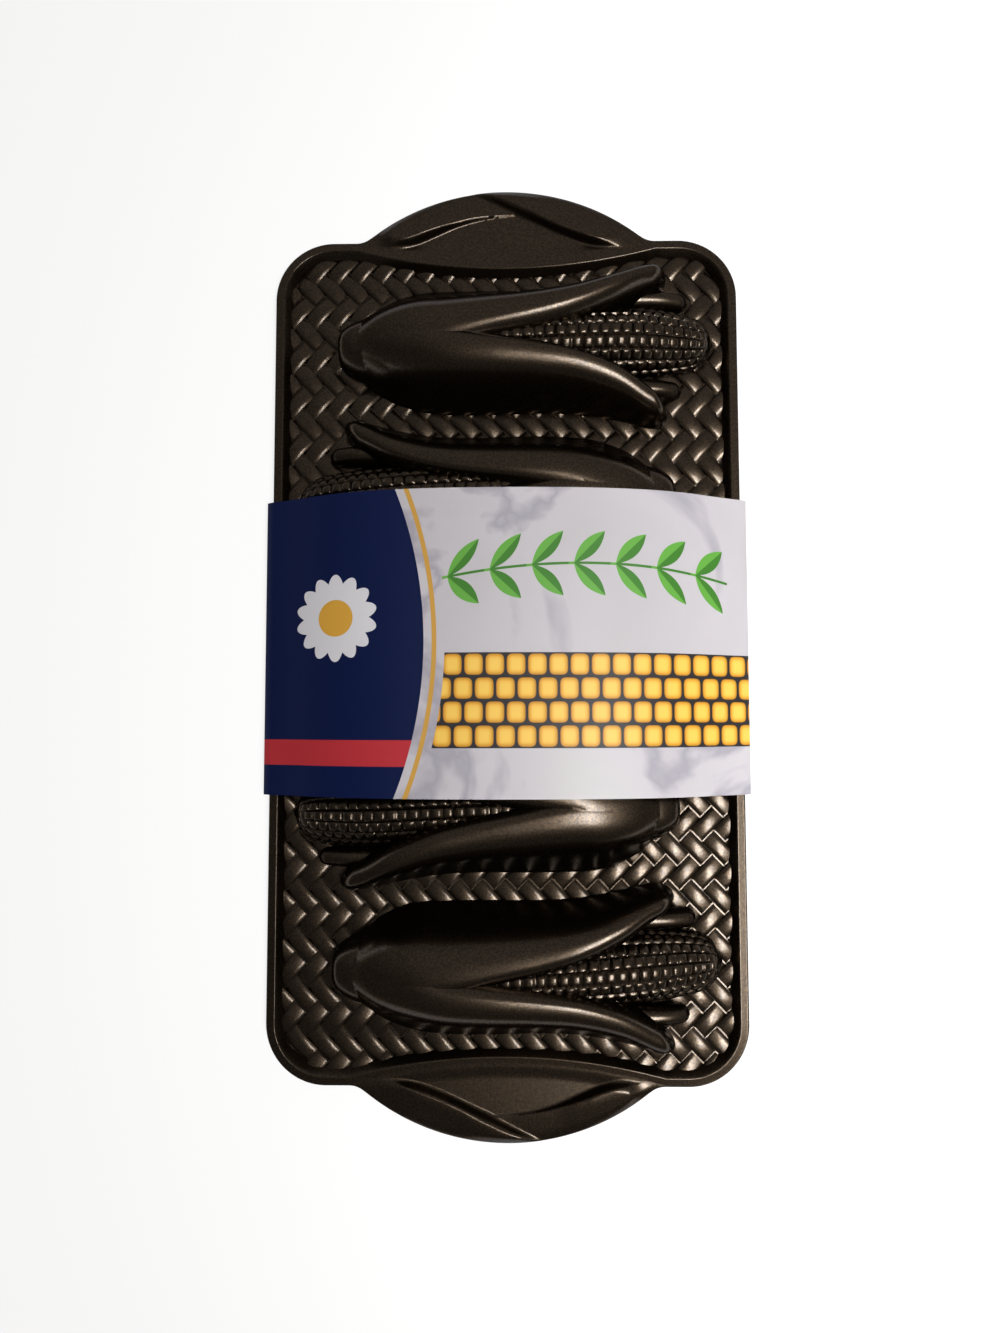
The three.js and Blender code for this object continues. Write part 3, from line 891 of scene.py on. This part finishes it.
def kernelBand(tree, x, y, fromDisc):  # a dark band with staggered rows of golden kernels
    beyond = addNode(tree, "Math", {"operation": "GREATER_THAN"}, [
        fromDisc, (artwork["arcRadius"] + artwork["bandInset"]) * mm])
    inBand = addNode(tree, "Math", {"operation": "COMPARE"}, [
        y, artwork["bandY"] * mm, artwork["bandHalfWidth"] * mm])
    band = addNode(tree, "Math", {"operation": "MULTIPLY"}, [inBand, beyond])
    pitchX, pitchY = [size * mm for size in artwork["kernelPitch"]]
    bandUp = addNode(tree, "Math", {"operation": "SUBTRACT"}, [
        y, (artwork["bandY"] - artwork["bandHalfWidth"]) * mm])
    rows = addNode(tree, "Math", {"operation": "DIVIDE"}, [bandUp, pitchY])
    row = addNode(tree, "Math", {"operation": "FLOOR"}, [rows])
    stagger = addNode(tree, "Math", {"operation": "MULTIPLY_ADD"}, [row, pitchX / 2, x])
    inRow = addNode(tree, "Math", {"operation": "WRAP"}, [stagger, pitchX / 2, -pitchX / 2])
    upRow = addNode(tree, "Math", {"operation": "WRAP"}, [bandUp, pitchY, 0])
    kernelPlace = addNode(tree, "CombineXYZ", inputs=[inRow, upRow])
    halfX, halfY = [size * mm for size in artwork["kernelHalfSize"]]
    kernel = addNode(tree, "Mapping", {"vector_type": "TEXTURE"}, {
        "Vector": kernelPlace, "Location": (0, pitchY / 2, 0), "Scale": (halfX, halfY, 1)})
    squared = addNode(tree, "VectorMath", {"operation": "MULTIPLY"}, [kernel, kernel])
    bulge = addNode(tree, "VectorMath", {"operation": "DOT_PRODUCT"}, [squared, squared])
    golds = addNode(tree, "ValToRGB", inputs=[bulge.outputs["Value"]], stops=artwork["kernelColours"])
    return band, golds


def leafSprig(tree, x, y):  # pointed leaves mirrored about an arched stem
    fromMiddle = addNode(tree, "Math", {"operation": "SUBTRACT"}, [x, artwork["sprigMiddle"][0] * mm])
    fall = addNode(tree, "Math", {"operation": "MULTIPLY"}, [fromMiddle, fromMiddle])
    arched = addNode(tree, "Math", {"operation": "MULTIPLY_ADD"}, [fall, artwork["sprigArch"] / mm, y])
    aside = addNode(tree, "Math", {"operation": "SUBTRACT"}, [arched, artwork["sprigMiddle"][1] * mm])
    away = addNode(tree, "Math", {"operation": "ABSOLUTE"}, [aside])
    halfPitch = artwork["leafPitch"] / 2 * mm
    inPitch = addNode(tree, "Math", {"operation": "WRAP"}, [x, halfPitch, -halfPitch])
    leafPlace = addNode(tree, "CombineXYZ", inputs=[inPitch, away])
    turn = math.radians(artwork["leafAngle"])
    long, short = [size * mm for size in artwork["leafHalfSize"]]
    leafTurned = addNode(tree, "Mapping", {"vector_type": "TEXTURE"}, {
        "Vector": leafPlace, "Rotation": (0, 0, turn),
        "Location": (0, math.sin(turn) * long, 0), "Scale": (long, short, 1)})
    leafSplit = addNode(tree, "SeparateXYZ", inputs=[leafTurned])
    leafAside = addNode(tree, "Math", {"operation": "ABSOLUTE"}, [leafSplit.outputs["Y"]])
    toRim = addNode(tree, "Math", {"operation": "MULTIPLY_ADD"}, [
        leafSplit.outputs["X"], leafSplit.outputs["X"], leafAside])
    leaf = addNode(tree, "Math", {"operation": "LESS_THAN"}, [toRim, 1])
    stem = addNode(tree, "Math", {"operation": "LESS_THAN"}, [away, artwork["stemHalfWidth"] * mm])
    green = addNode(tree, "Math", {"operation": "MAXIMUM"}, [leaf, stem])
    inSprig = addNode(tree, "Math", {"operation": "COMPARE"}, [
        fromMiddle, 0, artwork["sprigHalfLength"] * mm])
    sprig = addNode(tree, "Math", {"operation": "MULTIPLY"}, [green, inSprig])
    litHalf = addNode(tree, "Math", {"operation": "GREATER_THAN"}, [leafSplit.outputs["Y"], 0])
    shaded, lit = artwork["leafColours"]
    greens = addNode(tree, "Mix", {"data_type": "RGBA"}, {0: litHalf, 6: colour(shaded), 7: colour(lit)})
    return sprig, greens.outputs[2]


def flowerOnDisc(tree, flat):  # masks of the rounded petals and of the flower's heart
    middle = [size * mm for size in artwork["flowerCentre"]] + [0]
    spread = addNode(tree, "VectorMath", {"operation": "SUBTRACT"}, [flat, middle])
    spreadSplit = addNode(tree, "SeparateXYZ", inputs=[spread])
    angle = addNode(tree, "Math", {"operation": "ARCTAN2"}, [
        spreadSplit.outputs["Y"], spreadSplit.outputs["X"]])
    turns = addNode(tree, "Math", {"operation": "MULTIPLY"}, [angle, artwork["petals"] / 2])
    wave = addNode(tree, "Math", {"operation": "SINE"}, [turns])
    lobe = addNode(tree, "Math", {"operation": "ABSOLUTE"}, [wave])
    edge = addNode(tree, "Math", {"operation": "MULTIPLY_ADD"}, [
        lobe, artwork["petalDepth"] * mm, (artwork["flowerRadius"] - artwork["petalDepth"]) * mm])
    away = addNode(tree, "VectorMath", {"operation": "LENGTH"}, [spread])
    flower = addNode(tree, "Math", {"operation": "LESS_THAN"}, [away.outputs["Value"], edge])
    heart = addNode(tree, "Math", {"operation": "LESS_THAN"}, [
        away.outputs["Value"], artwork["flowerRadius"] * artwork["heartShare"] * mm])
    return flower, heart


def frontInks(tree, flat, x, y):  # marbled ground, then each printed shape over the ones before
    cloud = addNode(tree, "TexNoise", inputs={
        "Vector": flat, "Scale": 1 / (artwork["marbleSize"] * mm), "Detail": 5, "Roughness": 0.5,
        "Distortion": 0.7})
    inks = addNode(tree, "ValToRGB", inputs=[cloud], stops=artwork["marble"])
    centre = [size * mm for size in artwork["discCentre"]] + [0]
    fromDisc = addNode(tree, "VectorMath", {"operation": "DISTANCE"}, [flat, centre]).outputs["Value"]
    disc = addNode(tree, "Math", {"operation": "LESS_THAN"}, [fromDisc, artwork["discRadius"] * mm])
    arc = addNode(tree, "Math", {"operation": "COMPARE"}, [
        fromDisc, artwork["arcRadius"] * mm, artwork["arcHalfWidth"] * mm])
    inStripe = addNode(tree, "Math", {"operation": "COMPARE"}, [
        y, artwork["stripeY"] * mm, artwork["stripeHalfWidth"] * mm])
    stripe = addNode(tree, "Math", {"operation": "MULTIPLY"}, [inStripe, disc])
    flower, heart = flowerOnDisc(tree, flat)
    layers = [
        kernelBand(tree, x, y, fromDisc),
        leafSprig(tree, x, y),
        (disc, colour(artwork["discColour"])),
        (stripe, colour(artwork["stripeColour"])),
        (flower, colour(artwork["petalColour"])),
        (heart, colour(artwork["heartColour"])),
        (arc, colour(artwork["arcColour"])),
    ]
    for mask, ink in layers:
        inks = addNode(tree, "Mix", {"data_type": "RGBA"}, {0: mask, 6: inks, 7: ink}).outputs[2]
    return inks


def printedBoard():  # clay-coated board, its flat inks under a satin varnish with a soft broad sheen
    material, tree = newMaterial("printedPaperboard")
    place = addNode(tree, "TexCoord")
    split = addNode(tree, "SeparateXYZ", inputs=[place.outputs["Object"]])
    flat = addNode(tree, "VectorMath", {"operation": "MULTIPLY"}, [place.outputs["Object"], (1, 1, 0)])
    inks = frontInks(tree, flat, split.outputs["X"], split.outputs["Y"])
    front = addNode(tree, "Math", {"operation": "GREATER_THAN"}, [
        split.outputs["Z"], artwork["frontFrom"] * mm])
    printed = addNode(tree, "Mix", {"data_type": "RGBA"}, {
        0: front, 6: colour(artwork["backColour"]), 7: inks})
    grain = addNode(tree, "TexNoise", inputs={
        "Vector": place.outputs["Object"], "Scale": 1 / (artwork["grainSize"] * mm), "Detail": 3})
    gloss = addNode(tree, "MapRange", inputs={
        "Value": grain,
        "From Min": artwork["grainRange"][0], "From Max": artwork["grainRange"][1],
        "To Min": artwork["roughness"][0], "To Max": artwork["roughness"][1]})
    bump = addNode(tree, "Bump", inputs={
        "Strength": artwork["grainStrength"], "Distance": artwork["grainDepth"] * mm, "Height": grain})
    shader = addNode(tree, "BsdfPrincipled", inputs={
        "Base Color": printed.outputs[2], "Roughness": gloss, "Normal": bump,
        "Specular IOR Level": artwork["varnish"]})
    addNode(tree, "OutputMaterial", inputs={"Surface": shader})
    return material


bareBoard = {
    "fibre": (4, 0.7, 0.7),  # length, width and depth of a fibre, drawn coarse enough to show
    "colours": ((0.35, "#c8c1b3"), (0.65, "#ddd8cc")),
    "fibreDepth": 0.05,
    "fibreStrength": 0.2,
    "roughness": 0.9,
}


def rawBoard():  # bare grey-white board inside the sleeve and on its cut edges, dull and faintly fibrous
    material, tree = newMaterial("uncoatedPaperboard")
    place = addNode(tree, "TexCoord")
    stretch = addNode(tree, "Mapping", inputs={
        "Vector": place.outputs["Object"], "Scale": [1 / (size * mm) for size in bareBoard["fibre"]]})
    fibre = addNode(tree, "TexNoise", inputs={"Vector": stretch, "Scale": 1, "Detail": 4})
    tone = addNode(tree, "ValToRGB", inputs=[fibre], stops=bareBoard["colours"])
    bump = addNode(tree, "Bump", inputs={
        "Strength": bareBoard["fibreStrength"], "Distance": bareBoard["fibreDepth"] * mm, "Height": fibre})
    shader = addNode(tree, "BsdfPrincipled", inputs={
        "Base Color": tone, "Roughness": bareBoard["roughness"], "Normal": bump})
    addNode(tree, "OutputMaterial", inputs={"Surface": shader})
    return material


castingFinish = bronzeNonstick()
for piece in ears + [rimPiece, deckPiece]:
    piece.data.materials.clear()
    piece.data.materials.append(castingFinish)
sleevePiece.data.materials.append(printedBoard())
sleevePiece.data.materials.append(rawBoard())
thickenSleeve(sleevePiece)
print("materials set")


# Each piece stands for its CAD nodes

for index, piece in enumerate(ears):
    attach(piece, "pan")
    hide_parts(f"ear_cup_{index + 1}")
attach(deckPiece, "pan")
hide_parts("woven_deck")
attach(rimPiece, "pan")
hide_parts("rim_left", "rim_right", "handle_far", "handle_near")
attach(sleevePiece, "sleeve")
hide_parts("sleeve")


# Floor, light and camera

studio = {
    "floorSize": 60,  # metres
    "floorDrop": 0.3,  # below the object
    "floorColour": "#949494",
    "floorGlow": 0.78,
    "roomToward": (0.2, 0.75, 0.63),  # the room is a little brighter beyond the far right corner
    "roomSpread": (0.25, 0.95),
    "roomLevels": (0.11, 0.34),
    "roomColour": "#fff8f1",
    "cameraPlace": (2.95, -28.0, 363.6),
    "cameraTilt": (3.54, 0.862, -0.137),
    "lens": 24,
    "filmWidth": 36,
    "clipStart": 0.01,  # metres
}
softboxes = {  # places and sizes in metres
    "keyRight": {"place": (0.56, -0.26, 1.02), "aim": (0.55, -0.05, 0), "size": (0.62, 0.56),
                 "spread": 63, "watts": 5.6, "mirrored": True},
    "fillAbove": {"place": (0.1, -0.1, 1.5), "aim": (0, 0, 0), "size": (1.2, 1.2),
                  "spread": 180, "watts": 5.4, "mirrored": False},
}


def makeFloor():  # it shows white to the camera and in reflections, and keeps the object's shadow
    deselectAll()
    bpy.ops.mesh.primitive_plane_add(size=studio["floorSize"], location=(0, 0, -studio["floorDrop"] * mm))
    floor = bpy.context.object
    floor.name = "floor"
    material, tree = newMaterial("paleFloor")
    light = addNode(tree, "LightPath")
    diffuse = addNode(tree, "BsdfDiffuse", inputs={"Color": colour(studio["floorColour"])})
    glow = addNode(tree, "Emission", inputs={"Strength": studio["floorGlow"]})
    both = addNode(tree, "AddShader", inputs=[diffuse, glow])
    seen = light.outputs["Is Camera Ray"]
    for ray in ("Is Glossy Ray", "Is Transmission Ray"):
        seen = addNode(tree, "Math", {"operation": "MAXIMUM"}, [seen, light.outputs[ray]])
    mix = addNode(tree, "MixShader", inputs=[seen, diffuse, both])
    addNode(tree, "OutputMaterial", inputs={"Surface": mix})
    floor.data.materials.append(material)


def addSoftbox(name, place, aim, size, spread, watts, mirrored):
    lamp = bpy.data.lights.new(name, "AREA")
    lamp.shape = "RECTANGLE"
    lamp.size, lamp.size_y = size
    lamp.spread = math.radians(spread)
    lamp.energy = watts
    holder = bpy.data.objects.new(name, lamp)
    scene.collection.objects.link(holder)
    holder.visible_glossy = mirrored
    holder.location = place
    holder.rotation_euler = (Vector(aim) - Vector(place)).to_track_quat("-Z", "Y").to_euler()


def makeWorld():
    world = bpy.data.worlds.new("studio")
    scene.world = world
    world.use_nodes = True
    tree = world.node_tree
    tree.nodes.clear()
    place = addNode(tree, "TexCoord")
    toward = addNode(tree, "VectorMath", {"operation": "DOT_PRODUCT"}, [
        place.outputs["Generated"], studio["roomToward"]])
    level = addNode(tree, "MapRange", inputs={
        "Value": toward.outputs["Value"],
        "From Min": studio["roomSpread"][0], "From Max": studio["roomSpread"][1],
        "To Min": studio["roomLevels"][0], "To Max": studio["roomLevels"][1]})
    glow = addNode(tree, "Background", inputs={"Color": colour(studio["roomColour"]), "Strength": level})
    addNode(tree, "OutputWorld", inputs={"Surface": glow})


def makeCamera():
    turn = Matrix.Identity(4)
    for axis, angle in zip("XYZ", studio["cameraTilt"]):
        turn = turn @ Matrix.Rotation(math.radians(angle), 4, axis)
    camera = bpy.data.cameras.new("photoCamera")
    camera.lens = studio["lens"]
    camera.sensor_width = studio["filmWidth"]
    camera.clip_start = studio["clipStart"]
    holder = bpy.data.objects.new("photoCamera", camera)
    scene.collection.objects.link(holder)
    holder.matrix_world = Matrix.Translation(Vector(studio["cameraPlace"]) * mm) @ turn
    scene.camera = holder


makeFloor()
makeWorld()
for name, softbox in softboxes.items():
    addSoftbox(name, **softbox)
makeCamera()
scene.view_settings.view_transform = "Standard"
print("floor, light and camera set")
